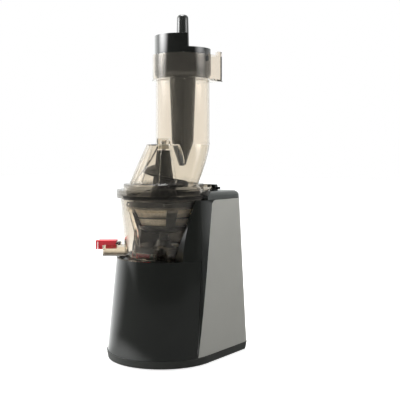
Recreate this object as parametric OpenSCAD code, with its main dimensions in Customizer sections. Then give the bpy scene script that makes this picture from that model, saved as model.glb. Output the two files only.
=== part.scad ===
// Cold press juicer: motor base with rear tower, see-through bowl, lid with wide feed tube, gate and pusher.
// Heights are above the table. Every module is drawn about the juicing axis and then shifted by placed().

/* [Motor base] */
// Radius of the round front at the table
base_r = 80; // [79:0.5:81]
// Reach of the flat rear face behind the juicing axis
rear_reach = 108.5; // [107:0.5:110]
// Height of the tower top
tower_h = 232; // [231:0.5:233]
// Height of the front deck rim
deck_h = 141; // [140.5:0.1:141.3]
// Height of the base tray
tray_h = 12; // [10:0.5:14]
// Wall of the black housings
wall = 2.6; // [2.2:0.1:3]
// Thickness of the silver side panels
panel_t = 1.6; // [1.2:0.1:1.8]

/* [Bowl] */
// Radius of the rim flange of bowl and lid
ring_r = 66.3; // [65.5:0.1:66.5]
// Outer radius of the bowl wall under its rim
bowl_top_r = 60.6; // [60:0.1:60.8]
// Outer radius of the bowl wall near its floor
bowl_low_r = 54.5; // [54:0.1:55]
// Wall of the see-through mouldings
clear_wall = 2.5; // [2.2:0.1:2.6]
// Bearing of the pulp spout, to the right of the front
spout_turn = 36; // [30:1:42]

/* [Strainer, wiper and auger] */
// Outer radius of the strainer's top ring
strainer_r = 48; // [47.5:0.1:48.2]
// Windows in the strainer and arms of the wiper
windows = 4; // [3:1:5]
// Turns of the auger's helical flight
auger_turns = 2.6; // [2:0.1:3]

/* [Lid and feed tube] */
// Distance of the feed tube behind the juicing axis
tube_y = 45; // [44.8:0.1:45.5]
// Outer radius of the feed tube
tube_r = 39.3; // [39:0.1:39.5]
// Height of the seam between lid and feed tube
seam_h = 300; // [299:0.5:301]
// Height of the hopper tray's floor
hopper_h = 393; // [391:0.5:394]
// Height of the hopper tray's rim
hopper_top = 430; // [429:0.5:431]
// Height of the gate's tall front wall
gate_top = 458; // [456:0.5:460]
// Height of the pusher's top, which is the whole height
total_h = 490; // [485:1:495]

/* [Drive] */
// Teeth of the motor pinion, which turns four times for one turn of the counter gear
pinion_teeth = 12; // [12:1:12]
// Module of the reduction gears
gear_m = 1; // [1:0.1:1]
// Across flats of the hexagonal output shaft
hex_af = 8; // [7.6:0.1:8]

/* [Hidden] */

$fn = 96;
hull_fn = 64;
eps = 0.01;
axis_shift = (rear_reach - base_r) / 2;

// Colours
gloss_black = [0.12, 0.13, 0.13];
cap_green = [0.25, 0.29, 0.27];
silver = [0.66, 0.66, 0.63];
clear_smoke = [0.80, 0.76, 0.70, 0.35];
steel = [0.72, 0.73, 0.75];
copper = [0.72, 0.42, 0.20];
rubber_dark = [0.10, 0.10, 0.10];
cap_red = [0.80, 0.12, 0.16];
gear_white = [0.88, 0.87, 0.82];
board_green = [0.10, 0.35, 0.20];

// Body outline: front circle, two hip circles and two rear corners, at the table and at the tower top
front_top_r = base_r - 22.2;
hip_r = 30;
hip_y = 5;
hip_x = [base_r - hip_r, base_r - 16 - hip_r];
corner_r = [20, 16];
corner_x = [base_r - corner_r[0], base_r - 16 - corner_r[1]];
corner_y = [rear_reach - corner_r[0], rear_reach - corner_r[1]];
cap_h = tower_h - 10;
feet_h = 2;

// Bowl and lid levels
dock_top = deck_h - 3.5;
bowl_floor = deck_h - 3;
bowl_rim = 225;
rim_split = 229;
skirt_top = 236;
step_top = 244;
step_r = 57;
cone_r = [48, 23.5];
hub_r = 9.6;
hub_top = 308;
cove_gap = 0.5;
hopper_r = tube_r + 4.7;
hopper_rear = 37.5;

// Wiper train: gear on the auger, pinion on the bowl floor, ring gear inside the wiper
auger_teeth = 20;
wiper_pinion_teeth = 14;
ring_teeth = auger_teeth + 2 * wiper_pinion_teeth;
wiper_m = 1.4;
wiper_gear_z = 149.5;
wiper_gear_h = 6;
wiper_centre = wiper_m * (auger_teeth + wiper_pinion_teeth) / 2;
wiper_bearing = 100;

// Reduction train, reverted so that the output lies on the motor's axis
counter_teeth = 4 * pinion_teeth;
small_teeth = 15;
output_teeth = 3 * small_teeth;
counter_centre = gear_m * (pinion_teeth + counter_teeth) / 2;
case_floor = 92;
gear_z = [case_floor + 5, case_floor + 15];

function mix(pair, t) = pair[0] + (pair[1] - pair[0]) * t;
function crease_y(z) = -23.7 + 0.146 * z;
function panel_edge_y(z) = -23 + 0.235 * z;
// Front edge of the right flank above the deck, a parabola that leans back as it rises, and of the left
// flank, which is cut back to leave room for the juice spout
function flank_edge_y(z) = -31.5 + 0.13 * (z - deck_h) + 0.0021 * pow(z - deck_h, 2);
function left_edge_y(z) = panel_edge_y(z) - 3;
function bowl_r(z) = mix([bowl_low_r, bowl_top_r], (z - 146) / (bowl_rim - 3 - 146));

module placed() translate([0, -axis_shift, 0]) children();
module mirror_copy() { children(); mirror([1, 0, 0]) children(); }
module ring_z(r_out, r_in, h) difference() {
    cylinder(r = r_out, h = h);
    translate([0, 0, -1]) cylinder(r = r_in, h = h + 2);
}
module hexagon(af, h) cylinder(r = af / 2 / cos(30), h = h, $fn = 6);
// Turned so that +X runs out along the juice spout, or along the pulp spout
module juice_dir() rotate([0, 0, 180 + spout_turn]) children();
module pulp_dir() rotate([0, 0, spout_turn - 90]) children();

// ---- Motor base -------------------------------------------------------------------------------

module outline_discs(z, inset, t) translate([0, 0, z]) {
    cylinder(r = mix([base_r, front_top_r], t) - inset, h = eps, $fn = hull_fn * 1.5);
    mirror_copy() {
        translate([mix(hip_x, t), hip_y, 0]) cylinder(r = hip_r - inset, h = eps, $fn = hull_fn);
        translate([mix(corner_x, t), mix(corner_y, t), 0])
            cylinder(r = mix(corner_r, t) - inset, h = eps, $fn = hull_fn);
    }
}

module body_solid(inset, z0, z1) hull() {
    outline_discs(z0, inset, z0 / tower_h);
    outline_discs(z1 - eps, inset, z1 / tower_h);
}

// Everything in front of a plane that leans back from y0 at the table by slope
module front_of(y0, slope, z0, z1, reach = 200)
    rotate([90, 0, 90]) translate([0, 0, -reach]) linear_extrude(2 * reach)
        polygon([[y0 + slope * z0, z0], [-200, z0], [-200, z1], [y0 + slope * z1, z1]]);

// Space that the bowl and the lid's skirt fill inside the tower's cove
module cove_space(gap) rotate_extrude()
    polygon([[0, deck_h - 4], [bowl_r(deck_h) + gap, deck_h - 4], [bowl_top_r + gap, bowl_rim - 3],
        [bowl_top_r + gap, bowl_rim - 0.5], [ring_r + gap, bowl_rim - 0.5], [ring_r + gap, tower_h + 10],
        [0, tower_h + 10]]);

module base_tray() color(rubber_dark) placed() difference() {
    union() {
        difference() {
            hull() {
                outline_discs(feet_h, 2, 0);
                outline_discs(tray_h - eps, 0, 0);
            }
            hull() {
                outline_discs(feet_h + 3, 4.5, 0);
                outline_discs(tray_h + 2, 3.5, 0);
            }
        }
        for (p = screw_places) translate([p[0], p[1], feet_h + 1]) cylinder(r = 4, h = tray_h - feet_h - 2);
    }
    for (x = [-4 : 4]) translate([x * 9 - 2, -26, 0]) cube([4, 52, 8]);
    for (p = screw_places) translate([p[0], p[1], 0]) {
        cylinder(r = 1.7, h = tray_h - 3, $fn = 24);
        cylinder(r = 3.3, h = feet_h + 2, $fn = 32);
    }
    mirror_copy() for (p = foot_places) translate([p[0], p[1], 0]) cylinder(r = 7.5, h = feet_h + 1);
}
screw_places = [[0, -66], [66, 20], [-66, 20], [34, 92], [-34, 92], [0, 70]];
foot_places = [[45, -44], [55, 85]];

module front_shell() color(gloss_black) placed() difference() {
    intersection() {
        body_solid(0, tray_h, deck_h);
        front_of(-23.9, 0.146, 0, deck_h + 1);
    }
    difference() {
        body_solid(wall, tray_h - 1, deck_h + 1);
        translate([0, 0, dock_top - 7]) cylinder(r = base_r, h = 20);
    }
    // ledge under the dock, and the rim round it
    cylinder(r = 58, h = deck_h + 1);
    translate([0, 0, dock_top - 4]) cylinder(r = 62.4, h = 20);
}

module flank_cut() rotate([90, 0, 90]) {
    linear_extrude(100) polygon(concat([for (z = [deck_h : 7 : bowl_rim]) [flank_edge_y(z), z]],
        [[flank_edge_y(bowl_rim), tower_h + 1], [-120, tower_h + 1], [-120, deck_h]]));
    translate([0, 0, -100]) linear_extrude(101) polygon([[left_edge_y(deck_h), deck_h],
        [left_edge_y(tower_h + 1), tower_h + 1], [-120, tower_h + 1], [-120, deck_h]]);
}

// Outer skin zone that a side panel fills
module panel_zone() {
    z0 = tray_h + 0.6;
    z1 = cap_h - 0.6;
    corner = 12;
    rotate([90, 0, 90]) translate([0, 0, 20]) linear_extrude(100) difference() {
        polygon([[panel_edge_y(z0), z0], [160, z0], [160, z1], [panel_edge_y(z1), z1]]);
        translate([panel_edge_y(z1), z1]) difference() {
            translate([-corner, -corner * 0.8]) square([2 * corner, corner]);
            translate([corner * 0.72, -corner]) circle(r = corner, $fn = 48);
            translate([corner * 0.72, -corner]) square([2 * corner, corner]);
        }
    }
}

// The panel's zone, which wraps round the rear corner and stops short of the rear spine
module panel_keep(side) intersection() {
    mirror([side, 0, 0]) panel_zone();
    union() {
        translate([-200, -200, 0]) cube([400, 200 + rear_reach - 14, 300]);
        mirror([side, 0, 0]) translate([42, 0, 0]) cube([100, 200, 300]);
    }
}

module side_panel(side) difference() {
    intersection() {
        body_solid(0, tray_h, cap_h);
        panel_keep(side);
    }
    body_solid(panel_t, tray_h - 1, cap_h + 1);
}
module side_panel_left() color(silver) placed() side_panel(1);
module side_panel_right() color(silver) placed() side_panel(0);

module tower_housing() color(gloss_black) placed() difference() {
    intersection() {
        body_solid(0, tray_h, cap_h);
        union() {
            difference() {
                translate([-100, -100, 0]) cube([200, 260, 260]);
                body_solid(panel_t + wall, tray_h - 1, cap_h + 1);
            }
            cove_wall();
            // solid cheeks beside the bowl
            translate([-100, -100, dock_top]) cube([200, 132, 100]);
        }
    }
    // the silver panels' skins
    for (side = [0, 1]) difference() {
        panel_keep(side);
        body_solid(panel_t, tray_h - 1, cap_h + 1);
    }
    cove_space(cove_gap);
    front_of(-23.7, 0.146, 0, deck_h);
    flank_cut();
    // cooling slots in the rear face
    for (x = [-3 : 3], row = [0 : 1])
        translate([x * 9 - 2, rear_reach - 10, 40 + row * 34]) cube([4, 20, 26]);
    translate([0, rear_reach - 10, 24]) rotate([-90, 0, 0]) cylinder(r = 7, h = 20);
}

module cove_wall() rotate_extrude()
    polygon([[bowl_low_r - 6, dock_top], [bowl_low_r + 2.5, dock_top], [bowl_top_r + 4, cap_h],
        [bowl_low_r - 6, cap_h]]);

module top_cap() color(cap_green) placed() difference() {
    hull() {
        outline_discs(cap_h, 0, cap_h / tower_h);
        outline_discs(cap_h + 5, 0.2, 0.98);
        outline_discs(cap_h + 8, 1.8, 1);
        outline_discs(tower_h - eps, 5.5, 1);
    }
    cove_space(cove_gap);
    difference() {
        body_solid(wall, cap_h - 1, tower_h - 3);
        cylinder(r = cap_ring_r, h = tower_h);
    }
    translate([-100, -150, 0]) cube([200, 150 + 18, 300]);
    translate([-100, -150, 0]) cube([100, 150 + left_edge_y(cap_h), 300]);
    translate([knob_place[0], knob_place[1], 0]) cylinder(r = 3.6, h = 300);
    plunger_dir() cylinder(r = plunger_r + 0.1, h = 300, $fn = 32);
}
cap_ring_r = ring_r + 2.1;
plunger_r = 2;
knob_place = [30, 78];
ear_bearing = 64.5;
ear_reach = 74;
// Turned to the ear's bearing, with the origin on the plunger
module plunger_dir() rotate([0, 0, ear_bearing]) translate([cap_ring_r + 2.8, 0, 0]) children();

module bowl_dock() color(rubber_dark) placed() {
    difference() {
        translate([0, 0, dock_top - 4]) cylinder(r = 62, h = 4);
        translate([0, 0, dock_top - 5]) cylinder(r = 9, h = 20);
        translate([0, 0, dock_top - 1.5]) ring_z(59, 56.5, 3);
    }
    // skirt that stands on the gear case
    translate([0, 0, case_floor + 31]) ring_z(23, 20, dock_top - 4 - case_floor - 31);
}

module shaft_seal() color(rubber_dark) placed()
    translate([0, 0, dock_top - 4]) ring_z(9, shaft_r + 0.3, 4.2);
shaft_r = 6;

module rubber_feet() color(rubber_dark) placed() mirror_copy()
    for (p = foot_places) translate([p[0], p[1], 0]) {
        cylinder(r1 = 6.8, r2 = 7.5, h = 1);
        translate([0, 0, 1]) cylinder(r = 7.5, h = feet_h);
    }

module tray_screws() color(steel) placed() for (p = screw_places) translate([p[0], p[1], feet_h + 0.4]) {
    difference() {
        cylinder(r = 3.2, h = 1.6, $fn = 32);
        translate([0, 0, -1]) hexagon(2.4, 1.9);
    }
    cylinder(r = 1.7, h = tray_h - feet_h - 3.6, $fn = 24);
}

module cable_gland() color(rubber_dark) placed()
    translate([0, rear_reach - 4.5, 24]) rotate([-90, 0, 0]) difference() {
        union() {
            cylinder(r = 7, h = 4.4);
            translate([0, 0, -2]) cylinder(r = 9, h = 2.2);
        }
        translate([0, 0, -3]) cylinder(r = 3.2, h = 10);
    }

// ---- Motor and reduction gearing --------------------------------------------------------------

motor_z = 26;
stator_h = 42;
stator_r = 42;
rotor_r = 22;
rotor_shaft_r = 4;
coil_r = 5.2;
coil_place_r = 31;
coil_bearings = [22.5 : 45 : 337.5];
mount_places = [for (a = [45 : 90 : 315]) [50 * cos(a), 50 * sin(a)]];

module motor_mounts() color(rubber_dark) placed() for (p = mount_places)
    translate([p[0], p[1], feet_h + 3]) difference() {
        cylinder(r = 6, h = motor_z - 12 - feet_h - 3);
        translate([0, 0, -1]) cylinder(r = 2, h = 20);
    }

module motor_bracket() color(steel) placed() translate([0, 0, motor_z - 12]) difference() {
    union() {
        cylinder(r = 14, h = 8);
        for (a = [45 : 90 : 315]) rotate([0, 0, a]) translate([0, -6, 0]) cube([56, 12, 3]);
        ring_z(stator_r + 2, stator_r - 3, 12);
        for (a = [0 : 90 : 270]) rotate([0, 0, a]) translate([10, -3, 0]) cube([stator_r - 11, 6, 5]);
    }
    translate([0, 0, 2]) cylinder(r = rotor_shaft_r + 0.05, h = 20);
    for (p = mount_places) translate([p[0], p[1], -1]) cylinder(r = 2, h = 10);
}

module stator_core() color(steel) placed() translate([0, 0, motor_z]) difference() {
    cylinder(r = stator_r, h = stator_h);
    translate([0, 0, -1]) cylinder(r = rotor_r + 1, h = stator_h + 2);
    for (a = coil_bearings) rotate([0, 0, a]) translate([coil_place_r, 0, -1])
        cylinder(r = coil_r + 0.3, h = stator_h + 2);
}

module stator_windings() color(copper) placed() for (a = coil_bearings) rotate([0, 0, a])
    translate([coil_place_r, 0, motor_z - 5]) cylinder(r = coil_r, h = stator_h + 10);

case_r = 60;
case_h = 28;
case_wall = 3;
bearing_r = 11;
pin_r = 3;
module gear_case() color(steel) placed() difference() {
    union() {
        translate([0, 0, case_floor - case_wall]) cylinder(r = case_r, h = case_wall);
        translate([0, 0, motor_z + stator_h])
            ring_z(stator_r + 2, stator_r - 3, case_floor - motor_z - stator_h);
        translate([0, 0, case_floor - case_wall]) ring_z(case_r, case_r - case_wall, case_h + case_wall);
        // ribs outside the wall
        for (a = [0 : 30 : 330]) rotate([0, 0, a])
            translate([case_r - 1, -1, case_floor - case_wall]) cube([2.5, 2, case_h + case_wall]);
    }
    translate([0, 0, case_floor - 20]) cylinder(r = rotor_shaft_r + 0.05, h = 40);
    translate([0, counter_centre, case_floor - 20]) cylinder(r = pin_r, h = 40);
}

module gear_case_cover() color(steel) placed() difference() {
    translate([0, 0, case_floor + case_h]) union() {
        cylinder(r = case_r, h = case_wall);
        cylinder(r = bearing_r + 3, h = 9);
    }
    translate([0, 0, case_floor]) cylinder(r = bearing_r, h = 60);
}

module counter_pin() color(steel) placed() translate([0, counter_centre, case_floor - case_wall])
    cylinder(r = pin_r, h = case_h + case_wall);

module output_bearing() color(steel) placed() translate([0, 0, case_floor + case_h])
    ring_z(bearing_r, shaft_r + 0.05, 8);

// Spur gear with straight-flanked teeth, a little narrower than the gap
module spur_gear(teeth, m, h, clear = 0.14) {
    pitch = m * teeth / 2;
    half_root = 180 / teeth * 0.62;
    half_tip = 180 / teeth * 0.24;
    half_pitch = 90 / teeth - clear * 90 / (pitch * 3.1416);
    linear_extrude(h) polygon([for (i = [0 : teeth - 1], c = [
        [pitch - 1.15 * m, -half_root], [pitch, -half_pitch], [pitch + 0.9 * m, -half_tip],
        [pitch + 0.9 * m, half_tip], [pitch, half_pitch], [pitch - 1.15 * m, half_root]])
        let (a = 360 * i / teeth + c[1]) c[0] * [cos(a), sin(a)]]);
}

module rotor_shaft() color(steel) placed() translate([0, 0, motor_z - 9])
    cylinder(r = rotor_shaft_r, h = gear_z[0] + 7 - motor_z + 9);
module rotor_core() color(steel) placed() translate([0, 0, motor_z + 1]) difference() {
    cylinder(r = rotor_r, h = stator_h - 2);
    translate([0, 0, -1]) cylinder(r = rotor_shaft_r, h = stator_h);
}
module cooling_fan() color(gear_white) placed() translate([0, 0, motor_z + stator_h + 1]) {
    ring_z(8, rotor_shaft_r, 5);
    for (a = [0 : 40 : 320]) rotate([0, 0, a]) translate([6, -0.8, 0]) rotate([25, 0, 0])
        cube([16, 1.6, 4.2]);
}
module motor_pinion() color(steel) placed() translate([0, 0, gear_z[0] - 1]) rotate([0, 0, 90])
    difference() {
        spur_gear(pinion_teeth, gear_m, 8);
        translate([0, 0, -1]) cylinder(r = rotor_shaft_r, h = 10);
    }
module counter_gear() color(gear_white) placed() translate([0, counter_centre, gear_z[0]]) difference() {
    union() {
        rotate([0, 0, -90 + 180 / counter_teeth]) spur_gear(counter_teeth, gear_m, 6);
        translate([0, 0, 5]) cylinder(r = 6, h = gear_z[1] - gear_z[0] - 4);
        translate([0, 0, gear_z[1] - gear_z[0]]) rotate([0, 0, -90 + 180 / small_teeth])
            spur_gear(small_teeth, gear_m, 8);
    }
    translate([0, 0, -1]) cylinder(r = pin_r + 0.05, h = 40);
}
module output_gear() color(gear_white) placed() translate([0, 0, gear_z[1] + 0.5]) rotate([0, 0, 90])
    difference() {
        spur_gear(output_teeth, gear_m, 7);
        translate([0, 0, -1]) cylinder(r = shaft_r, h = 10);
    }
module output_shaft() color(steel) placed() {
    translate([0, 0, gear_z[1] + 0.5]) cylinder(r = shaft_r, h = dock_top + 0.5 - gear_z[1] - 0.5);
    translate([0, 0, dock_top]) hexagon(hex_af, 28);
}

// ---- Controls ---------------------------------------------------------------------------------

module control_board() color(board_green) placed() {
    translate([-40, 84, 140]) cube([80, 1.6, 60]);
    for (x = [-24, 0, 20]) translate([x, 84, 160]) rotate([90, 0, 0]) cylinder(r = 5, h = 12, $fn = 32);
    translate([-34, 78, 180]) cube([18, 6, 12]);
    mirror_copy() translate([34, 85.6, 145]) cube([4, rear_reach - panel_t - wall - 85.6, 6]);
}
module selector_switch() color(rubber_dark) placed()
    translate([knob_place[0], knob_place[1], 0]) difference() {
        union() {
            translate([-8, -8, tower_h - 16]) cube([16, 16, 13]);
            translate([0, 0, cap_h]) cylinder(r = 3.5, h = tower_h - 1 - cap_h);
        }
        translate([0, 0, cap_h - 5]) cylinder(r = knob_shaft_r + 0.05, h = 20);
    }
knob_shaft_r = 2.5;
module control_knob() color(gloss_black) placed() translate([knob_place[0], knob_place[1], 0]) {
    difference() {
        union() {
            translate([0, 0, tower_h + 0.3]) cylinder(r = 8.4, h = 3);
            intersection() {
                translate([0, 0, tower_h + 3]) cylinder(r1 = 8.4, r2 = 7.6, h = 6);
                translate([-9, -3.4, tower_h]) cube([18, 6.8, 12]);
            }
            translate([7, -1.8, tower_h + 2.2]) cube([6, 3.6, 3.4]);
        }
        translate([0, 0, tower_h + 9.5]) rotate([0, 90, 0]) cylinder(r = 1, h = 30, center = true, $fn = 24);
    }
    translate([0, 0, cap_h - 4]) cylinder(r = knob_shaft_r, h = 15);
}
module safety_switch() color(rubber_dark) placed() plunger_dir() difference() {
    translate([-2.75, -5.5, tower_h - 16]) cube([6, 11, 13]);
    translate([0, 0, tower_h - 13]) cylinder(r = plunger_r + 0.05, h = 20, $fn = 32);
}
module safety_plunger() color(cap_red) placed() plunger_dir()
    translate([0, 0, tower_h - 11]) cylinder(r = plunger_r, h = ear_z - 0.3 - tower_h + 11, $fn = 32);
ear_z = tower_h + 1.8;

// ---- Bowl -------------------------------------------------------------------------------------

module bowl_shape(r_off, z0) rotate_extrude()
    polygon(concat([[0, z0], [bowl_low_r - 5 - r_off, z0]],
        [for (a = [-90 : 18 : 0]) [bowl_low_r - 5 - r_off + 5 * cos(a), z0 + 8 + 8 * sin(a)]],
        [[bowl_top_r - r_off, bowl_rim - 3], [bowl_top_r - r_off, rim_split + 1], [0, rim_split + 1]]));

juice_z = 142.3;
juice_top = 157;
juice_end = 85.5;
lever_r = 62.8;
lever_z = 159.6;
module juicing_bowl() color(clear_smoke) placed() difference() {
    union() {
        difference() {
            union() {
                intersection() {
                    bowl_shape(0, bowl_floor);
                    cylinder(r = 100, h = rim_split);
                }
                translate([0, 0, bowl_rim]) ring_z(ring_r, bowl_top_r - 1, 1.6);
                translate([0, 0, bowl_rim + 1]) ring_z(ring_r - 1.2, bowl_top_r - 1, 2);
                translate([0, 0, bowl_rim + 2.4]) ring_z(ring_r, bowl_top_r - 1, 1.6);
            }
            bowl_shape(clear_wall, bowl_floor + clear_wall);
            juice_space();
            pulp_space();
        }
        // hub, guide ring with the wiper's ledge, and strainer seats
        translate([0, 0, bowl_floor]) cylinder(r = 11, h = wiper_gear_z - 0.3 - bowl_floor);
        translate([0, 0, 220.8]) ring_z(bowl_top_r - 1.5, 56.6, 1.5);
        difference() {
            translate([0, 0, bowl_floor + 1]) union() {
                ring_z(44.4, wiper_ring_r + 0.3, 11);
                ring_z(44.4, 39, wiper_gear_z - 0.8 - bowl_floor - 1);
            }
            pulp_dir() translate([30, -7.8, bowl_floor + clear_wall]) cube([20, 15.6, 30]);
            juice_dir() translate([30, -6.5, bowl_floor + clear_wall]) cube([20, 13, 30]);
        }
        strainer_keys(54, bowl_top_r - 1.5, seat_z - 3.4, seat_z, 14);
    }
    translate([0, 0, bowl_floor - 1]) cylinder(r = 8.5, h = 20);
    rotate([0, 0, wiper_bearing]) translate([wiper_centre, 0, 0]) cylinder(r = stud_r, h = 170, $fn = 32);
    plug_shape(38, 24, bowl_floor - 0.2, plug_base_z + 1);
}
pulp_axis_z = 151.8;
seat_z = 214.4;
lever_pin_r = 1;
stud_r = 2;
// Turned so that +Z runs along the cap lever's pin
module lever_axis() juice_dir() translate([lever_r, 0, lever_z]) rotate([90, 0, 0]) children();

// Inside of the juice spout: closed above near the bowl, then open, with a weir across its end
module juice_space() juice_dir() {
    translate([40, -6.5, juice_z + 2]) cube([juice_end - 42, 13, 10.5]);
    translate([64.5, -6.5, juice_z + 2]) cube([juice_end - 66.5, 13, 40]);
    translate([juice_end - 3, -6.5, juice_z + 8.7]) cube([10, 13, 40]);
}
// Spout moulding that stands on the bowl's wall, with the ears for the cap lever's pin
module juice_spout() color(clear_smoke) placed() difference() {
    juice_dir() {
        translate([45, -8.5, juice_z]) cube([juice_end - 45, 17, juice_top - juice_z]);
        for (y = [-8.5, 5.9]) translate([lever_r - 3, y, juice_top - 1]) cube([6, 2.6, 5.6]);
    }
    bowl_shape(0, bowl_floor);
    juice_space();
    lever_axis() cylinder(r = lever_pin_r, h = 40, center = true, $fn = 24);
}

module pulp_space() pulp_dir() {
    pulp_channel(7.8, 40, 90, pulp_axis_z + 5);
    translate([bowl_low_r + 4, -7.8, pulp_axis_z]) cube([40, 15.6, 20]);
}
module pulp_spout() color(clear_smoke) placed() difference() {
    pulp_dir() pulp_channel(10, 46, 78, pulp_axis_z + 4);
    bowl_shape(0, bowl_floor);
    pulp_space();
}
// U-shaped channel along +X: a round bottom with walls up to the given height
module pulp_channel(half, x0, x1, top) {
    translate([x0, 0, pulp_axis_z]) rotate([0, 90, 0]) cylinder(r = half, h = x1 - x0);
    translate([x0, -half, pulp_axis_z]) cube([x1 - x0, 2 * half, top - pulp_axis_z]);
}

// Three keys that carry the strainer in the bowl and stop it from turning
module strainer_keys(r0, r1, z0, z1, w) for (a = [75, 195, 315]) rotate([0, 0, a])
    translate([r0, -w / 2, z0]) cube([r1 - r0, w, z1 - z0]);

module hub_seal() color(rubber_dark) placed() translate([0, 0, bowl_floor + 0.2]) ring_z(8.5, 6.2, 9);
module pinion_stud() color(steel) placed() rotate([0, 0, wiper_bearing]) translate([wiper_centre, 0, 0]) {
    translate([0, 0, bowl_floor])
        cylinder(r = stud_r, h = wiper_gear_z + wiper_gear_h + 1 - bowl_floor, $fn = 32);
    translate([0, 0, bowl_floor + clear_wall])
        cylinder(r = 2 * stud_r, h = wiper_gear_z - 0.3 - bowl_floor - clear_wall);
}
// Wedge of a ring, 60 degrees wide about the juice spout's bearing
module plug_shape(r_out, r_in, z0, z1) juice_dir() translate([0, 0, z0]) intersection() {
    ring_z(r_out, r_in, z1 - z0);
    rotate([0, 0, -30]) cube([60, 60, 20]);
    rotate([0, 0, -60]) cube([60, 60, 20]);
}
// Silicone plug in the floor's cleaning slot, with a raised body inside the bowl
module bowl_floor_plug() color(cap_red) placed() {
    plug_shape(38, 24, bowl_floor + 0.2, plug_base_z + 1);
    plug_shape(38.6, 22.5, plug_base_z, wiper_gear_z - 1.5);
}
plug_base_z = bowl_floor + clear_wall;

// ---- Strainer, wiper and auger ----------------------------------------------------------------

basket_low_r = 38;
window_z = [187, 209.5];
cup_z = 175;
window_bearing = -36;
module strainer_frame() color(rubber_dark) placed() difference() {
    union() {
        difference() {
            rotate_extrude() polygon(concat(
                [[0, cup_z], [17, cup_z]],
                [for (a = [-80 : 20 : 0]) [17 + (basket_low_r - 18) * cos(a), window_z[0] + 11 * sin(a)]],
                [[basket_low_r, window_z[0]], [strainer_r - 2, window_z[1]], [strainer_r, window_z[1] + 1],
                [strainer_r, 220], [0, 220]]));
            rotate_extrude() polygon([[0, cup_z + 3], [15, cup_z + 3], [basket_low_r - 4.5, window_z[0] - 1],
                [strainer_r - 4.4, window_z[1]], [strainer_r - 3, 221], [0, 221]]);
            for (i = [0 : windows - 1]) rotate([0, 0, window_bearing + 360 / windows * (i + 0.5)])
                window_cut(360 / windows - 20);
        }
        // hoop across the middle of the windows, and the keys that seat on the bowl
        rotate_extrude() polygon([[38.8, 196.8], [42.2, 196.8], [42.8, 198.4], [39.5, 198.4]]);
        strainer_keys(strainer_r - 1, bowl_r(seat_z) - clear_wall - 0.4, seat_z, 218, 10);
    }
    cylinder(r = 7.2, h = 400);
}
// Wedge of the given angle between the window's lower and upper edges
module window_cut(angle) translate([0, 0, window_z[0]]) linear_extrude(window_z[1] - window_z[0])
    polygon([[0, 0], 60 / cos(angle / 2) * [cos(angle / 2), -sin(angle / 2)],
        60 / cos(angle / 2) * [cos(angle / 2), sin(angle / 2)]]);

module strainer_mesh() color(steel) placed() difference() {
    rotate_extrude() polygon([[basket_low_r - 4.6, window_z[0] - 0.8], [strainer_r - 4.5, window_z[1]],
        [strainer_r - 4.4, window_z[1] + 1.5], [strainer_r - 5.1, window_z[1] + 1.5],
        [strainer_r - 5.2, window_z[1]], [basket_low_r - 5.3, window_z[0] - 0.8]]);
    for (a = [0 : 12 : 348], k = [0 : 2]) rotate([0, 0, a + 6]) translate([30, -0.8, 190 + k * 6.5])
        cube([20, 1.6, 3.6]);
}

module wiper_pinion() color(gear_white) placed() rotate([0, 0, wiper_bearing])
    translate([wiper_centre, 0, wiper_gear_z]) rotate([0, 0, 180 / wiper_pinion_teeth]) difference() {
        spur_gear(wiper_pinion_teeth, wiper_m, wiper_gear_h, 0.3);
        translate([0, 0, -1]) cylinder(r = stud_r + 0.05, h = 10);
    }

wiper_ring_r = 41.8;
arm_bearing = 6;
module wiper_frame() color(clear_smoke) placed() {
    difference() {
        translate([0, 0, wiper_gear_z - 0.5]) cylinder(r = wiper_ring_r, h = wiper_gear_h + 2.5);
        translate([0, 0, wiper_gear_z - 1]) rotate([0, 0, wiper_bearing])
            ring_gear_space();
    }
    translate([0, 0, 206]) ring_z(52.4, 49.4, 7);
    for (i = [0 : 2]) rotate([0, 0, arm_bearing + 120 * i]) wiper_arm();
}
// Space inside the ring gear: an external gear shape that is cut out of the ring
module ring_gear_space() {
    pitch = wiper_m * ring_teeth / 2;
    gap = 90 / ring_teeth + 0.16 * 90 / (pitch * 3.1416);
    linear_extrude(20) polygon([for (i = [0 : ring_teeth - 1], c = [
        [pitch - 0.9 * wiper_m, -gap * 1.5], [pitch, -gap], [pitch + 1.15 * wiper_m, -gap * 0.55],
        [pitch + 1.15 * wiper_m, gap * 0.55], [pitch, gap], [pitch - 0.9 * wiper_m, gap * 1.5]])
        let (a = 360 * (i + 0.5) / ring_teeth + c[1]) c[0] * [cos(a), sin(a)]]);
}
module wiper_arm() rotate([90, 0, 0]) translate([0, 0, -2.5]) linear_extrude(5)
    polygon([[38.8, 156], [wiper_ring_r, 154], [wiper_ring_r + 2.2, 175], [52, 206], [52, 210], [49.6, 210],
        [49.6, 206], [arm_r(178), 178]]);
// Inner edge of a wiper arm, which carries the blade
function arm_r(z) = 40.4 + (z - 178) * (49.6 - 40.4) / (206 - 178);
module wiper_blades() color(cap_red) placed() for (i = [0 : 2]) rotate([0, 0, arm_bearing + 120 * i])
    rotate([90, 0, 0]) translate([0, 0, -0.8]) linear_extrude(1.6)
        polygon([[38.4, 184], [arm_r(184), 184], [arm_r(205), 205], [45.4, 205]]);

auger_z = [cup_z + 3.4, 291];
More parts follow.
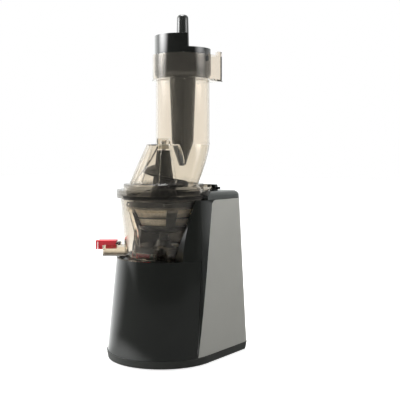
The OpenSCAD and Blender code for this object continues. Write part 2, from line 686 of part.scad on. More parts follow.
// Core radius and flight radius of the auger along its height
function core_r(z) = lookup(z, [[177, 12], [190, 15], [215, 22], [245, 15.5], [270, 12], [296, 9]]);
function flight_r(z) = lookup(z, [[180, 13], [187, 29], [209, 41], [222, 43], [236, 38], [250, 33],
    [270, 26.5], [276, 18], [280, 10.5], [294, 9]]);
flight_steps = 48;
module helical_flight(start) {
    z0 = auger_z[0] + 5;
    z1 = auger_z[1] - 4;
    rings = [for (i = [0 : flight_steps]) let (t = i / flight_steps, z = mix([z0, z1], pow(t, 0.92)),
        a = start - 360 * auger_turns * t, r0 = core_r(z) - 3, r1 = max(flight_r(z), r0 + 0.8))
        for (c = [[r0, -3.2], [r1, -1.3], [r1, 1.3], [r0, 3.2]])
            [c[0] * cos(a), c[0] * sin(a), z + c[1]]];
    n = len(rings);
    polyhedron(points = rings, faces = concat([[0, 1, 2, 3], [n - 1, n - 2, n - 3, n - 4]],
        [for (i = [0 : flight_steps - 1], k = [0 : 3], h = [0, 1]) let (b = 4 * i, j = (k + 1) % 4)
            h == 0 ? [b + k, b + 4 + k, b + j] : [b + j, b + 4 + k, b + 4 + j]]));
}
module auger() color(gloss_black) placed() difference() {
    union() {
        rotate_extrude() polygon(concat([[0, 157], [6.5, 157], [6.5, auger_z[0]], [11, auger_z[0]]],
            [for (z = [180, 190, 215, 245, 270, 291]) [core_r(z), z]], [[0, 291]]));
        helical_flight(200);
        // gear and its conical skirt, at the foot of the stem
        translate([0, 0, wiper_gear_z]) rotate([0, 0, wiper_bearing])
            spur_gear(auger_teeth, wiper_m, wiper_gear_h, 0.3);
        translate([0, 0, wiper_gear_z + wiper_gear_h]) cylinder(r1 = 12, r2 = 8.6, h = 9);
    }
    translate([0, 0, 140]) hexagon(hex_af + 2.4, 32);
    translate([0, 0, 278]) cylinder(r = 3, h = 30, $fn = 32);
}
module auger_insert() color(steel) placed() difference() {
    translate([0, 0, wiper_gear_z]) hexagon(hex_af + 2.4, 22.5);
    translate([0, 0, 140]) hexagon(hex_af + 0.16, 31);
}
module auger_pin() color(steel) placed() translate([0, 0, 278]) cylinder(r = 3, h = 26, $fn = 32);

// ---- Juice cap --------------------------------------------------------------------------------

module lever_pin() color(steel) placed() lever_axis()
    cylinder(r = lever_pin_r, h = 17.4, center = true, $fn = 24);
module cap_lever() color(gloss_black) placed() difference() {
    union() {
        lever_axis() cylinder(r = 2.2, h = 11, center = true, $fn = 32);
        juice_dir() translate([lever_r, -5.4, lever_z - 0.6]) cube([8, 10.8, 1.8]);
        juice_dir() translate([lever_r + 7, -7.4, lever_z - 0.6]) cube([18, 14.8, 1.8]);
    }
    lever_axis() cylinder(r = lever_pin_r + 0.05, h = 30, center = true, $fn = 24);
}
module juice_cap() color(cap_red) placed() juice_dir() {
    difference() {
        union() {
            hull() {
                translate([68, -8, 157.6]) cube([21, 16, 0.5]);
                translate([65.8, -9.6, 162.2]) cube([26.1, 19.2, 1.6]);
            }
            // plug in the spout's open top, and the flap before its end
            translate([66.4, -6, 152.4]) cube([15, 12, 5.3]);
            translate([85.9, -8, 151.7]) cube([6, 16, 10.6]);
        }
        translate([lever_r, -5.6, lever_z - 0.8]) cube([9, 11.2, 2.2]);
        translate([lever_r + 7, -7.4, lever_z - 0.6]) cube([18, 14.8, 1.8]);
    }
    // pull tab
    translate([91.5, -4.2, 161.8]) cube([4.1, 8.4, 1.8]);
    translate([94, -4.2, 151]) cube([1.6, 8.4, 12]);
}

// ---- Lid and feed tube ------------------------------------------------------------------------

module lid_gasket() color(rubber_dark) placed() translate([0, 0, 222.6]) ring_z(57.6, 55.3, 5);

elbow_rings = 10;
elbow_sides = 64;
// Elbow: a loft from a circle round the juicing axis to the feed tube's circle
module elbow(inset, z0, z1) {
    points = [for (i = [0 : elbow_rings]) let (u = i / elbow_rings, s = 1 - pow(1 - u, 1.4),
        r = mix([cone_r[0] + 1.5, tube_r], s) - inset) for (k = [0 : elbow_sides - 1])
        let (a = 360 * k / elbow_sides) [r * cos(a), s * tube_y + r * sin(a), mix([z0, z1], u)]];
    last = elbow_rings * elbow_sides;
    polyhedron(points = points, faces = concat(
        [[for (k = [0 : elbow_sides - 1]) k], [for (k = [elbow_sides - 1 : -1 : 0]) last + k]],
        [for (i = [0 : elbow_rings - 1], k = [0 : elbow_sides - 1], h = [0, 1])
            let (b = i * elbow_sides, c = b + elbow_sides, j = (k + 1) % elbow_sides)
            h == 0 ? [b + k, c + k, b + j] : [b + j, c + k, c + j]]));
}

module lid() color(clear_smoke) placed() difference() {
    union() {
        difference() {
            lid_outside();
            translate([0, 0, 200]) cylinder(r = 52.8, h = step_top - 200 - clear_wall - 2);
            translate([0, 0, 230]) cylinder(r = cone_r[0] - clear_wall + 3, h = 11);
            translate([0, 0, step_top - 4]) cylinder(r1 = cone_r[0] - clear_wall + 1.7,
                r2 = cone_r[1] - clear_wall, h = seam_h - step_top + 4 - clear_wall);
            elbow(clear_wall, step_top - 3, seam_h + 1);
        }
        // boss inside, round the bush
        translate([0, 0, bush_z]) cylinder(r = 8, h = seam_h - bush_z - 0.3);
    }
    translate([0, 0, bush_z - 1]) cylinder(r = 6, h = bush_h + 1);
    translate([0, 0, bush_z]) cylinder(r = 3.3, h = hub_top - 2.5 - bush_z);
}
bush_z = 293;
bush_h = 6.4;
module lid_outside() {
    translate([0, 0, rim_split + 0.3]) cylinder(r = ring_r, h = 2.2);
    translate([0, 0, rim_split + 2]) cylinder(r = ring_r - 1.2, h = 2);
    translate([0, 0, rim_split + 3.4]) cylinder(r = ring_r, h = skirt_top - rim_split - 3.4);
    translate([0, 0, skirt_top - 1]) cylinder(r = step_r, h = step_top - skirt_top + 1);
    translate([0, 0, step_top - 0.1]) cylinder(r1 = cone_r[0], r2 = cone_r[1], h = seam_h - step_top - 0.3);
    elbow(0, step_top - 0.2, seam_h - 0.3);
    // inner ring inside the gasket
    translate([0, 0, 222]) ring_z(55, 52.8, 10);
    // hub, cut back where it meets the feed tube
    difference() {
        translate([0, 0, seam_h - 2]) cylinder(r = hub_r, h = hub_top - seam_h + 2);
        translate([0, tube_y, seam_h - 0.3]) cylinder(r = tube_r + 0.9, h = 400);
    }
    // ribs up the cone
    for (a = [-150 : 30 : -30]) rotate([0, 0, a]) rotate([90, 0, 0]) translate([0, 0, -0.9])
        linear_extrude(1.8) polygon([[cone_r[0] - 3, step_top], [cone_r[0] + 1.4, step_top],
            [cone_r[1] + 0.9, seam_h - 1.5], [cone_r[1] - 2, seam_h - 1.5]]);
    // locking ear over the safety plunger
    rotate([0, 0, ear_bearing]) ear_shape();
}
module ear_shape() {
    translate([step_r - 4, -7, skirt_top - 0.5]) cube([ear_reach - step_r + 4, 14, 2]);
    for (y = [-7, 5]) translate([step_r - 4, y, ear_z])
        cube([ear_reach - step_r + 4, 2, skirt_top + 6 - ear_z]);
    translate([ring_r + 1.2, -7, ear_z]) cube([ear_reach - ring_r - 1.2, 14, 2.5]);
}
module lid_bush() color(gear_white) placed() translate([0, 0, bush_z]) ring_z(6, 3.05, bush_h);

module hopper_outline(inset) {
    translate([0, tube_y]) {
        circle(r = hopper_r - inset);
        translate([-hopper_r + inset, 0]) square([2 * (hopper_r - inset), hopper_rear - inset]);
    }
}
module feed_tube() color(clear_smoke) placed() difference() {
    union() {
        translate([0, tube_y, seam_h]) cylinder(r = tube_r, h = hopper_h - seam_h + 1);
        translate([0, tube_y, seam_h]) cylinder(r = tube_r + 0.5, h = 2.4);
        translate([0, 0, hopper_h]) linear_extrude(hopper_top - hopper_h) hopper_outline(0);
        translate([0, 0, hopper_h - 0.8]) linear_extrude(1.2) hopper_outline(-0.6);
        // raised tabs at the rear corners
        mirror_copy() translate([hopper_r - 2, tube_y + hopper_rear - 10, hopper_top - 1]) cube([2, 10, 7]);
        mirror_copy() translate([hopper_r - 10, tube_y + hopper_rear - 2, hopper_top - 1]) cube([10, 2, 7]);
    }
    translate([0, tube_y, seam_h - 1]) cylinder(r = tube_r - clear_wall, h = 200);
    translate([0, 0, hopper_h + 2]) linear_extrude(80) hopper_outline(2);
    // open-topped slots for the gate's pivot bosses
    for (x = [-1, 1]) translate([x * (hopper_r - 1), tube_y, gate_pivot_z]) {
        rotate([0, 90, 0]) cylinder(r = 4, h = 8, center = true);
        translate([-4, -4, 0]) cube([8, 8, 20]);
    }
}

gate_pivot_z = 423;
gate_r = hopper_r - 2.8;
gate_front_y = -28;
module feed_gate() color(gloss_black) placed() translate([0, tube_y, 0]) difference() {
    union() {
        intersection() {
            translate([0, 0, hopper_h + 2.4]) rotate_extrude() polygon(concat([[0, 0]],
                [for (a = [-90 : 15 : 0]) [gate_r - 9 + 9 * cos(a), 9 + 9 * sin(a)]],
                [[gate_r, gate_top - hopper_h - 2.4], [0, gate_top - hopper_h - 2.4]]));
            union() {
                translate([-60, -60, 0]) cube([120, 60 + gate_front_y, 600]);
                translate([-60, -60, 0]) cube([120, 120, hopper_top + 9]);
            }
        }
        // pivot bosses
        translate([0, 0, gate_pivot_z]) rotate([0, 90, 0])
            cylinder(r = 3.7, h = 2 * hopper_r + 1.2, center = true);
    }
    translate([0, 0, hopper_h + 5.2]) rotate_extrude() polygon(concat([[0, 0]],
        [for (a = [-90 : 15 : 0]) [gate_r - 11 + 8.4 * cos(a), 8.4 + 8.4 * sin(a)]],
        [[gate_r - 2.6, 100], [0, 100]]));
    translate([0, 0, hopper_h]) cylinder(r = pusher_r + 0.5, h = 60);
}

pusher_r = 19.5;
module pusher() color(gloss_black) placed() translate([0, tube_y, 0]) difference() {
    rotate_extrude() polygon(concat([[0, 269], [4.5, 269], [15.2, 301], [16, 304], [pusher_r, hopper_h + 5.4],
        [pusher_r + 5, hopper_h + 5.4], [pusher_r + 5, hopper_h + 8], [pusher_r - 2, hopper_h + 9],
        [11, 428], [9.8, 431], [8.4, total_h - 5]],
        [for (a = [0 : 15 : 90]) [3.4 + 5 * cos(a), total_h - 5 + 5 * sin(a)]], [[0, total_h]]));
    // flutes down the shaft
    for (a = [-54, 36, 126, 216]) rotate([0, 0, a]) translate([14.5, -1.1, 300]) cube([10, 2.2, 90]);
}

// ---- Assembly ---------------------------------------------------------------------------------

base_tray();
front_shell();
tower_housing();
side_panel_left();
side_panel_right();
top_cap();
bowl_dock();
shaft_seal();
rubber_feet();
tray_screws();
cable_gland();
motor_mounts();
motor_bracket();
stator_core();
stator_windings();
gear_case();
gear_case_cover();
counter_pin();
output_bearing();
control_board();
selector_switch();
safety_switch();
rotor_shaft();
rotor_core();
cooling_fan();
motor_pinion();
counter_gear();
output_gear();
output_shaft();
control_knob();
safety_plunger();
juicing_bowl();
juice_spout();
pulp_spout();
hub_seal();
pinion_stud();
bowl_floor_plug();
strainer_frame();
strainer_mesh();
wiper_pinion();
wiper_frame();
wiper_blades();
auger();
auger_insert();
auger_pin();
lever_pin();
cap_lever();
juice_cap();
lid_gasket();
lid();
lid_bush();
feed_tube();
feed_gate();
pusher();
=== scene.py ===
import bpy, bmesh, math
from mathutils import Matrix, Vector


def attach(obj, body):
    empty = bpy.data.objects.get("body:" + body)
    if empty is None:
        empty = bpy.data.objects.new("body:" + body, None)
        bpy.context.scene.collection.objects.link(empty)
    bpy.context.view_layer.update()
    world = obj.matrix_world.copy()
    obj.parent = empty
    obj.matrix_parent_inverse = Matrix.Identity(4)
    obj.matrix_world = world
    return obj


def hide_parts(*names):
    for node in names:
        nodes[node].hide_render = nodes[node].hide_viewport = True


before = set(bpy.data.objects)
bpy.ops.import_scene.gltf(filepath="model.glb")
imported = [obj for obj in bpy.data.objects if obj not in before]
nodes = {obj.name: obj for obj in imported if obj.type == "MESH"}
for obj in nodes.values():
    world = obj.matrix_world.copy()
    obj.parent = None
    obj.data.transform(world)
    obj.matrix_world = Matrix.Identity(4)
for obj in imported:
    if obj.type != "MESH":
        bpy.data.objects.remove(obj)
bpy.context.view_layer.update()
scene = bpy.context.scene

# ---- Camera, floor and light ----
# A long lens level with the lid, turned a little to the right of the juicer's front.
# A bright cove behind, a dark room before it, a soft box overhead and a high one at each side.
axis_y = -0.01425  # the upright axis of bowl, strainer, auger and lid
view_turn = math.radians(36)
right = Vector((math.cos(view_turn), math.sin(view_turn), 0))
ahead = Vector((-math.sin(view_turn), math.cos(view_turn), 0))
lens_height = 0.2917
lens_aside = 0.0519
lens_distance = 1.087
camera = bpy.data.objects.new("camera", bpy.data.cameras.new("camera"))
scene.collection.objects.link(camera)
camera.data.lens = 68.85
camera.data.sensor_width = 36
camera.data.shift_y = -0.125
camera.location = Vector((0, axis_y, lens_height)) + lens_aside * right - lens_distance * ahead
camera.rotation_euler = (math.radians(90), 0, view_turn)
scene.camera = camera
scene.view_settings.view_transform = "Standard"


def smooth_range(tree, value, low, high, at_low, at_high):
    """Smooth change from at_low to at_high while a value goes from low to high."""
    change = tree.nodes.new("ShaderNodeMapRange")
    change.interpolation_type = "SMOOTHSTEP"
    change.inputs["From Min"].default_value = low
    change.inputs["From Max"].default_value = high
    change.inputs["To Min"].default_value = at_low
    change.inputs["To Max"].default_value = at_high
    tree.links.new(value, change.inputs["Value"])
    return change.outputs["Result"]


def against(tree, operation, vector, fixed):
    """Dot product or distance of a vector socket and a fixed vector."""
    measure = tree.nodes.new("ShaderNodeVectorMath")
    measure.operation = operation
    measure.inputs[1].default_value = fixed
    tree.links.new(vector, measure.inputs[0])
    return measure.outputs["Value"]


def reckoned(tree, operation, first, second, within_one=False):
    """Result of a Math node on two sockets, kept from 0 to 1 if asked."""
    result = tree.nodes.new("ShaderNodeMath")
    result.operation = operation
    result.use_clamp = within_one
    tree.links.new(first, result.inputs[0])
    tree.links.new(second, result.inputs[1])
    return result.outputs[0]


def shining(tree, kind, colour):
    """Background or Emission node of a colour."""
    source = tree.nodes.new(kind)
    source.inputs["Color"].default_value = (*colour, 1)
    return source


def chosen(tree, factor, first, second):
    """First shader where the factor is 0, second where it is 1."""
    choice = tree.nodes.new("ShaderNodeMixShader")
    tree.links.new(factor, choice.inputs[0])
    tree.links.new(first, choice.inputs[1])
    tree.links.new(second, choice.inputs[2])
    return choice.outputs[0]


world = bpy.data.worlds.new("studio")
scene.world = world
world.use_nodes = True
studio = world.node_tree
studio.nodes.clear()
ray_way = studio.nodes.new("ShaderNodeTexCoord").outputs["Generated"]
ray_kind = studio.nodes.new("ShaderNodeLightPath").outputs


def along(direction, low, high, bottom, top):
    """Smooth rise from bottom to top as a ray turns towards the given direction."""
    return smooth_range(studio, against(studio, "DOT_PRODUCT", ray_way, direction), low, high, bottom, top)


room_tint = (0.98, 1.0, 0.99)
cove_glow = along(ahead + Vector((0, 0, 0.55)), low=-0.45, high=0.75, bottom=0.10, top=0.85)
left_glow = along(0.5 * ahead - right, low=0.55, high=1.1, bottom=0.0, top=1.3)
through_glow = along(ahead, low=-0.5, high=0.6, bottom=0.4, top=1.0)
dim_room = shining(studio, "ShaderNodeBackground", room_tint)
studio.links.new(reckoned(studio, "ADD", cove_glow, left_glow), dim_room.inputs["Strength"])
white_room = shining(studio, "ShaderNodeBackground", (1, 1, 1))
seen_through = reckoned(studio, "MULTIPLY", ray_kind["Is Transmission Ray"], through_glow)
seen = reckoned(studio, "MAXIMUM", ray_kind["Is Camera Ray"], seen_through)
backdrop = chosen(studio, seen, dim_room.outputs[0], white_room.outputs[0])
studio.links.new(backdrop, studio.nodes.new("ShaderNodeOutputWorld").inputs[0])

floor_half = 6
floor_corners = [(x * floor_half, y * floor_half, 0) for x, y in ((-1, -1), (1, -1), (1, 1), (-1, 1))]
floor_mesh = bpy.data.meshes.new("floor")
floor_mesh.from_pydata(floor_corners, [], [(0, 1, 2, 3)])
floor = bpy.data.objects.new("floor", floor_mesh)
scene.collection.objects.link(floor)
floor_white = bpy.data.materials.new("floor_white")
floor_white.use_nodes = True
ground = floor_white.node_tree
ground.nodes.clear()
floor_ray = ground.nodes.new("ShaderNodeLightPath").outputs
floor_spot = ground.nodes.new("ShaderNodeTexCoord").outputs["Object"]

# what the camera and the clear plastics see: pale grey light over a matt floor that takes the shadow
seen_through_share = 0.55
glow = shining(ground, "ShaderNodeEmission", (0.82, 0.82, 0.82))
glow_strength = ground.nodes.new("ShaderNodeMath")
glow_strength.operation = "MULTIPLY_ADD"
glow_strength.inputs[1].default_value = seen_through_share
ground.links.new(floor_ray["Is Transmission Ray"], glow_strength.inputs[0])
ground.links.new(floor_ray["Is Camera Ray"], glow_strength.inputs[2])
ground.links.new(glow_strength.outputs[0], glow.inputs["Strength"])
matt = ground.nodes.new("ShaderNodeBsdfDiffuse")
matt.inputs["Color"].default_value = (0.6, 0.6, 0.6, 1)
plain_floor = ground.nodes.new("ShaderNodeAddShader")
ground.links.new(glow.outputs[0], plain_floor.inputs[0])
ground.links.new(matt.outputs[0], plain_floor.inputs[1])

# painted light that only glossy faces mirror: bright behind the juicer, dark before it, with a bright
# painted pool at its left foot
outward = ground.nodes.new("ShaderNodeVectorMath")
outward.operation = "NORMALIZE"
ground.links.new(floor_spot, outward.inputs[0])
bright_side = (ahead - 0.6 * right).normalized()
behind = against(ground, "DOT_PRODUCT", outward.outputs["Vector"], bright_side)
sweep = smooth_range(ground, behind, low=0.42, high=0.98, at_low=0.22, at_high=1.7)
pool_middle = Vector((0, axis_y, 0)) - 0.2 * right - 0.1 * ahead
pool_distance = against(ground, "DISTANCE", floor_spot, pool_middle)
painted_pool = smooth_range(ground, pool_distance, low=0.0, high=0.24, at_low=1.25, at_high=0.0)
mirrored_floor = shining(ground, "ShaderNodeEmission", room_tint)
ground.links.new(reckoned(ground, "ADD", sweep, painted_pool), mirrored_floor.inputs["Strength"])
mirror_only = reckoned(ground, "SUBTRACT", floor_ray["Is Glossy Ray"], floor_ray["Is Transmission Ray"],
                       within_one=True)
surface = chosen(ground, mirror_only, plain_floor.outputs[0], mirrored_floor.outputs[0])
ground.links.new(surface, ground.nodes.new("ShaderNodeOutputMaterial").inputs[0])
floor_mesh.materials.append(floor_white)


def soft_box(name, side, back, height, wide, tall, power):
    """Area light that fades towards its edges, aimed at the juicer."""
    lamp = bpy.data.lights.new(name, "AREA")
    lamp.shape = "RECTANGLE"
    lamp.size = wide
    lamp.size_y = tall
    lamp.energy = power
    lamp.use_nodes = True
    tree = lamp.node_tree
    on_face = tree.nodes.new("ShaderNodeNewGeometry").outputs["Parametric"]
    from_middle = against(tree, "DISTANCE", on_face, (0.5, 0.5, 0))
    fade = smooth_range(tree, from_middle, low=0.0, high=0.5, at_low=3.0, at_high=0.0)
    tree.links.new(fade, tree.nodes["Emission"].inputs["Strength"])
    holder = bpy.data.objects.new(name, lamp)
    scene.collection.objects.link(holder)
    holder.location = Vector((0, axis_y, height)) + side * right + back * ahead
    lid_top = Vector((0, axis_y, 0.3))
    holder.rotation_euler = (lid_top - holder.location).to_track_quat("-Z", "Y").to_euler()


soft_box("box_left", side=-1.0, back=-0.05, height=0.65, wide=1.2, tall=0.6, power=10.5)
soft_box("box_right", side=1.07, back=-0.26, height=0.65, wide=1.2, tall=0.6, power=4.8)
soft_box("box_over", side=-0.1, back=0.1, height=1.6, wide=1.2, tall=1.2, power=30)


def shaded(colour, factor):
    """The colour made darker or lighter by a factor."""
    return tuple(min(1, c * factor) for c in colour)


def colour_ramp(tree, value, stops):
    """Colour that follows the stops, (place, colour) from first to last, as a value rises."""
    ramp = tree.nodes.new("ShaderNodeValToRGB")
    elements = ramp.color_ramp.elements
    for end in (0, -1):
        place, colour = stops[end]
        elements[end].position = place
        elements[end].color = (*colour, 1)
    for place, colour in stops[1:-1]:
        elements.new(place).color = (*colour, 1)
    tree.links.new(value, ramp.inputs["Fac"])
    return ramp.outputs["Color"]


def noise(tree, scale, detail):
    """Noise over the piece's own coordinates."""
    pattern = tree.nodes.new("ShaderNodeTexNoise")
    pattern.inputs["Scale"].default_value = scale
    pattern.inputs["Detail"].default_value = detail
    place = tree.nodes.new("ShaderNodeTexCoord")
    tree.links.new(place.outputs["Object"], pattern.inputs["Vector"])
    return pattern.outputs["Fac"]


def uneven(tree, pattern, smoothest, roughest, bump, bump_depth):
    """Roughness that varies with a noise, and a faint bump from the same noise."""
    shader = tree.nodes["Principled BSDF"]
    spread = tree.nodes.new("ShaderNodeMapRange")
    spread.inputs["To Min"].default_value = smoothest
    spread.inputs["To Max"].default_value = roughest
    tree.links.new(pattern, spread.inputs["Value"])
    tree.links.new(spread.outputs["Result"], shader.inputs["Roughness"])
    raised = tree.nodes.new("ShaderNodeBump")
    raised.inputs["Strength"].default_value = bump
    raised.inputs["Distance"].default_value = bump_depth
    tree.links.new(pattern, raised.inputs["Height"])
    tree.links.new(raised.outputs["Normal"], shader.inputs["Normal"])


def moulded(name, colour, rough, coat=0.0, grain=900.0, bump=0.02, vary=0.06, metal=0.0, spec=0.5):
    """A moulded or machined surface: slow colour drift, fine grain in the roughness and a faint bump."""
    material = bpy.data.materials.new(name)
    material.use_nodes = True
    tree = material.node_tree
    shader = tree.nodes["Principled BSDF"]
    shader.inputs["Metallic"].default_value = metal
    shader.inputs["Coat Weight"].default_value = coat
    shader.inputs["Coat Roughness"].default_value = 0.04
    shader.inputs["Specular IOR Level"].default_value = spec
    drift = noise(tree, scale=14, detail=4)
    drifting = colour_ramp(tree, drift, [(0.3, shaded(colour, 1 - vary)), (0.7, shaded(colour, 1 + vary))])
    tree.links.new(drifting, shader.inputs["Base Color"])
    fine = noise(tree, scale=grain, detail=3)
    uneven(tree, fine, rough * 0.85, rough * 1.15, bump, bump_depth=0.0004)
    return material


def dressed(node, material, body, round_by=0.0, even_shine=False):
    """Merged copy of a CAD node with smooth shading and rounded edges, which stands for the node.

    With even_shine the broad faces keep their own normals, so that a clear wall shows no streaks.
    """
    merge_distance = 4e-6
    flat_within = math.radians(0.6)
    edge_from = math.radians(40 if even_shine else 30)
    mesh = nodes[node].data.copy()
    merged = bmesh.new()
    merged.from_mesh(mesh)
    bmesh.ops.remove_doubles(merged, verts=merged.verts, dist=merge_distance)
    bmesh.ops.dissolve_limit(merged, angle_limit=flat_within, verts=merged.verts, edges=merged.edges)
    merged.to_mesh(mesh)
    merged.free()
    mesh.materials.clear()
    mesh.materials.append(material)
    piece = bpy.data.objects.new(node + "_skin", mesh)
    scene.collection.objects.link(piece)
    mesh.polygons.foreach_set("use_smooth", [True] * len(mesh.polygons))
    mesh.set_sharp_from_angle(angle=edge_from)
    if round_by:
        soften = piece.modifiers.new("edges", "BEVEL")
        soften.width = round_by
        soften.segments = 2
        soften.limit_method = "ANGLE"
        soften.angle_limit = edge_from
        soften.use_clamp_overlap = True
        soften.harden_normals = not even_shine
        if even_shine:
            even = piece.modifiers.new("normals", "WEIGHTED_NORMAL")
            even.mode = "FACE_AREA"
            even.weight = 80
            even.keep_sharp = True
        rounded = bpy.data.meshes.new_from_object(piece.evaluated_get(bpy.context.evaluated_depsgraph_get()))
        piece.modifiers.clear()
        piece.data = rounded
    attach(piece, body)
    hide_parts(node)


tray_black = moulded("tray_black", (0.028, 0.030, 0.026), 0.38, grain=1400, bump=0.06)
rubber = moulded("foot_rubber", (0.015, 0.015, 0.015), 0.75, grain=2200, bump=0.15)
steel = moulded("turned_steel", (0.50, 0.50, 0.51), 0.28, grain=600, metal=1.0)
dressed("base_tray", tray_black, "base", round_by=0.0006)
dressed("rubber_feet", rubber, "base", round_by=0.0004)
dressed("tray_screws", steel, "base", round_by=0.0002)

# ---- Front shell, tower and cable gland ----
# Polished black mouldings: a round front shell, and a tower whose cove and flanks close round the bowl.
# They meet along one sloping seam at each flank. A rubber gland is pressed into the tower's rear.
housing_black = (0.0128, 0.0140, 0.0122)
gloss = moulded("gloss_black", housing_black, 0.07, coat=0.3, grain=260, bump=0.006, vary=0.1)
tower_black = moulded("tower_black", housing_black, 0.12, grain=260, bump=0.006, vary=0.1, spec=0.28)
dressed("front_shell", gloss, "base", round_by=0.0012)
dressed("tower_housing", tower_black, "base", round_by=0.0008)
dressed("cable_gland", rubber, "base", round_by=0.0004)

# ---- Side panels ----
# Satin silver painted skins that wrap the flanks and the rear corners.
# They are clipped on over the tower, one at each side.
silver = moulded("satin_silver", (0.468, 0.461, 0.427), 0.36, coat=0.15, grain=3200, bump=0.05, vary=0.02,
                 metal=0.45)
dressed("side_panel_left", silver, "base", round_by=0.0005)
dressed("side_panel_right", silver, "base", round_by=0.0005)

# ---- Top cap, knob and safety plunger ----
# Grey-green glossy cap with a rounded shoulder, and a rotary knob with a pointer on its switch.
# A sprung red plunger under the lid's ear works the safety switch.
cap_grey = moulded("cap_grey", (0.026, 0.031, 0.028), 0.2, coat=0.3, grain=1500, bump=0.02)
red = moulded("red_silicone", (0.80, 0.012, 0.030), 0.36, grain=1800, bump=0.05)
dark = moulded("dark_plastic", (0.020, 0.021, 0.020), 0.3, grain=1200, bump=0.03)
dressed("top_cap", cap_grey, "base", round_by=0.0006)
dressed("control_knob", gloss, "knob", round_by=0.0005)
dressed("safety_plunger", red, "plunger", round_by=0.0004)
dressed("selector_switch", dark, "base", round_by=0.0003)
dressed("safety_switch", dark, "base", round_by=0.0003)

# ---- Motor, gearing, control board and bowl dock ----
# Stacked stator with wound coils on rubber mounts, and a two-stage reduction in a cast case above it.
# The board stands on lugs at the tower's rear. The dock and its shaft seal close the base under the bowl.
copper = moulded("enamelled_copper", (0.42, 0.13, 0.045), 0.35, grain=500, metal=0.9)
nylon = moulded("gear_nylon", (0.70, 0.68, 0.61), 0.45, grain=1500, bump=0.05)
board = moulded("circuit_board", (0.015, 0.10, 0.045), 0.4, grain=700, vary=0.25)
for node, material, slot in (
        ("motor_mounts", rubber, "rubber_black"), ("motor_bracket", steel, "steel"),
        ("stator_core", steel, "steel"), ("stator_windings", copper, "copper"),
        ("gear_case", steel, "steel"), ("gear_case_cover", steel, "steel"),
        ("counter_pin", steel, "steel"), ("output_bearing", steel, "steel"),
        ("control_board", board, "board"), ("bowl_dock", dark, "black_switch"),
        ("shaft_seal", rubber, "rubber_black")):
    dressed(node, material, "base", round_by=0.0004)
for node, material, slot in (
        ("rotor_shaft", steel, "steel"), ("rotor_core", steel, "steel"),
        ("cooling_fan", nylon, "white_nylon"), ("motor_pinion", steel, "steel")):
    dressed(node, material, "rotor")
dressed("counter_gear", nylon, "counter")
dressed("output_gear", nylon, "drive")
dressed("output_shaft", steel, "drive", round_by=0.0003)

# ---- Juicing bowl ----
# Smoke-clear moulding with a rim flange, a juice spout, a pulp chute and a hub.
# The hub seal is black rubber, the floor plug red silicone, and the wiper pinion's stud steel.
plastic_ior = 1.3
white = (1, 1, 1)
edge_shade = (0.42, 0.40, 0.36)


def clear(name, colour, pass_on=0.99, rim=0.3, lines=()):
    """Smoke-tinted clear plastic with a faint waviness, darker where a wall is seen edge-on.

    It is striped with painted shade at the heights where the rim flanges of bowl and lid stack up. The lines
    are further stripes, as (height, shade) stops.
    """
    # painted shade: darker stripes where the rim flanges of bowl and lid stack up, as (height, shade) stops
    flange_painted_shade = (
        (0.2245, 1.0), (0.2262, rim), (0.2282, rim), (0.2294, 0.5), (0.2306, rim), (0.2322, 0.52),
        (0.2345, 0.5), (0.2358, rim * 0.8), (0.2374, 0.85), (0.2404, 0.85), (0.2420, rim), (0.2434, 1.0))
    material = bpy.data.materials.new(name)
    material.use_nodes = True
    tree = material.node_tree
    shader = tree.nodes["Principled BSDF"]
    shader.inputs["Transmission Weight"].default_value = pass_on
    shader.inputs["IOR"].default_value = plastic_ior
    wave = noise(tree, scale=22, detail=2)
    tint = colour_ramp(tree, wave, [(0, shaded(colour, 0.97)), (1, shaded(colour, 1.02))])
    height = tree.nodes.new("ShaderNodeSeparateXYZ")
    tree.links.new(tree.nodes.new("ShaderNodeTexCoord").outputs["Object"], height.inputs[0])
    stripes = [(at, (shade, shade * 0.97, shade * 0.92)) for at, shade in (*flange_painted_shade, *lines)]
    striped = colour_ramp(tree, height.outputs["Z"], [(0, white), *stripes, (1, white)])
    # painted shade: the colour darkens where a wall is seen edge-on, in place of the dark outline that
    # refraction gives
    facing = tree.nodes.new("ShaderNodeLayerWeight").outputs["Facing"]
    edge_on_shade = colour_ramp(tree, facing, [(0.62, white), (0.88, edge_shade)])
    for layer in (striped, edge_on_shade):
        laid_over = tree.nodes.new("ShaderNodeMix")
        laid_over.data_type = "RGBA"
        laid_over.blend_type = "MULTIPLY"
        laid_over.inputs["Factor"].default_value = 1
        tree.links.new(tint, laid_over.inputs["A"])
        tree.links.new(layer, laid_over.inputs["B"])
        tint = laid_over.outputs["Result"]
    tree.links.new(tint, shader.inputs["Base Color"])
    uneven(tree, wave, smoothest=0.021, roughest=0.042, bump=0.03, bump_depth=0.001)
    return material


smoke = clear("clear_smoke", (0.915, 0.885, 0.84), rim=0.36)
# painted shade: the spouts get a darker copy of the bowl's plastic and a dark line near their foot, up to
# 0.1449 m
spout_shaded_smoke = clear("spout_shaded_smoke", (0.84, 0.79, 0.71), lines=((0.1443, 0.02), (0.1449, 1.0)))
dressed("juicing_bowl", smoke, "bowl", round_by=0.0004, even_shine=True)
dressed("juice_spout", spout_shaded_smoke, "bowl", round_by=0.0003, even_shine=True)
dressed("pulp_spout", spout_shaded_smoke, "bowl", round_by=0.0003, even_shine=True)
dressed("hub_seal", rubber, "bowl")
dressed("bowl_floor_plug", red, "bowl", round_by=0.0003)
dressed("pinion_stud", steel, "bowl")

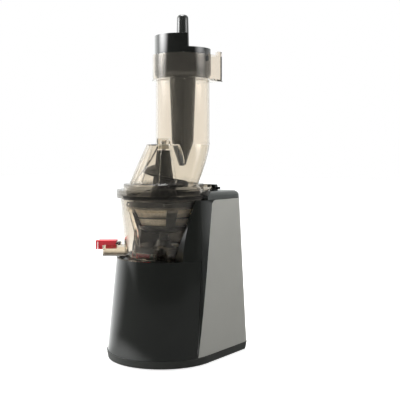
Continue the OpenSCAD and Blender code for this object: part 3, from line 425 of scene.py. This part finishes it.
# ---- Strainer and wiper ----
# Black basket frame with a fine net of steel wire in its windows.
# It stands inside a clear wiper frame with three black silicone blades, which a nylon pinion turns.
basket_black = moulded("basket_black", (0.010, 0.011, 0.010), 0.35, grain=1200, bump=0.03, spec=0.2)
dressed("strainer_frame", basket_black, "bowl", round_by=0.0004)
sieve_rings = 18
sieve_bars = 132
sieve_wire = 0.0007
low_radius = 0.0332
low_height = 0.1866
high_radius = 0.0432
high_height = 0.2098
bearings = [2 * math.pi * k / sieve_bars for k in range(sieve_bars)]
sieve_net = bmesh.new()
rows = []
for i in range(sieve_rings):
    rise = i / (sieve_rings - 1)
    radius = low_radius + (high_radius - low_radius) * rise
    height = low_height + (high_height - low_height) * rise
    rows.append([sieve_net.verts.new((radius * math.cos(a), axis_y + radius * math.sin(a), height))
                 for a in bearings])
for low_row, high_row in zip(rows, rows[1:]):
    for k in range(sieve_bars):
        n = (k + 1) % sieve_bars
        sieve_net.faces.new((low_row[k], low_row[n], high_row[n], high_row[k]))
bmesh.ops.wireframe(sieve_net, faces=sieve_net.faces, thickness=sieve_wire, offset=0.0, use_even_offset=True,
                    use_boundary=True, use_replace=True)
sieve_mesh = bpy.data.meshes.new("sieve")
sieve_net.to_mesh(sieve_mesh)
sieve_net.free()
sieve_mesh.materials.append(moulded("sieve_steel", (0.88, 0.82, 0.70), 0.5, metal=0.1))
sieve = bpy.data.objects.new("fine_sieve", sieve_mesh)
scene.collection.objects.link(sieve)
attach(sieve, "bowl")
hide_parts("strainer_mesh")
# The wiper frame's colour darkens from its foot up to 0.1585 m and is plain from 0.16 m up.
wiper_smoke = clear("wiper_smoke", (0.88, 0.85, 0.79), pass_on=0.96, lines=((0.1585, 0.1), (0.1600, 1.0)))
dressed("wiper_pinion", nylon, "pinion")
dressed("wiper_frame", wiper_smoke, "wiper")
dressed("wiper_blades", rubber, "wiper")

# ---- Auger ----
# One satin black moulding with a helical flight and a gear on its foot.
# A steel insert takes the drive shaft, and a steel pin runs in the lid.
auger_black = moulded("auger_black", (0.010, 0.011, 0.010), 0.3, grain=1200, bump=0.03, spec=0.2)
dressed("auger", auger_black, "auger")
dressed("auger_insert", steel, "auger")
dressed("auger_pin", steel, "auger")

# ---- Juice cap ----
# Red silicone cap with a pull tab, pushed on a black lever.
# The lever turns about a steel pin through the juice spout's ears.
dressed("juice_cap", red, "lever", round_by=0.0008)
dressed("cap_lever", dark, "lever", round_by=0.0003)
dressed("lever_pin", steel, "bowl")

# ---- Lid ----
# Clear moulding: flange, cone with ribs and an elbow up to the feed tube.
# A black gasket seals it in the bowl, and a nylon bush in it carries the auger's pin.
lid_smoke = clear("lid_smoke", (0.845, 0.815, 0.76), rim=0.42)
dressed("lid_gasket", rubber, "gasket", round_by=0.0004)
dressed("lid", lid_smoke, "lid", round_by=0.0004, even_shine=True)
dressed("lid_bush", nylon, "lid", round_by=0.0003)

# ---- Feed tube, gate and pusher ----
# Clear tube with a hopper tray on the elbow, and a glossy black gate cup in the tray.
# The long tapered pusher is a black moulding that slides in the tube.
dressed("feed_tube", smoke, "tube", round_by=0.0004, even_shine=True)
dressed("feed_gate", gloss, "gate", round_by=0.0006)
pusher_black = moulded("pusher_black", (0.040, 0.042, 0.039), 0.1, coat=0.2, grain=260, bump=0.006)
dressed("pusher", pusher_black, "pusher", round_by=0.0005)
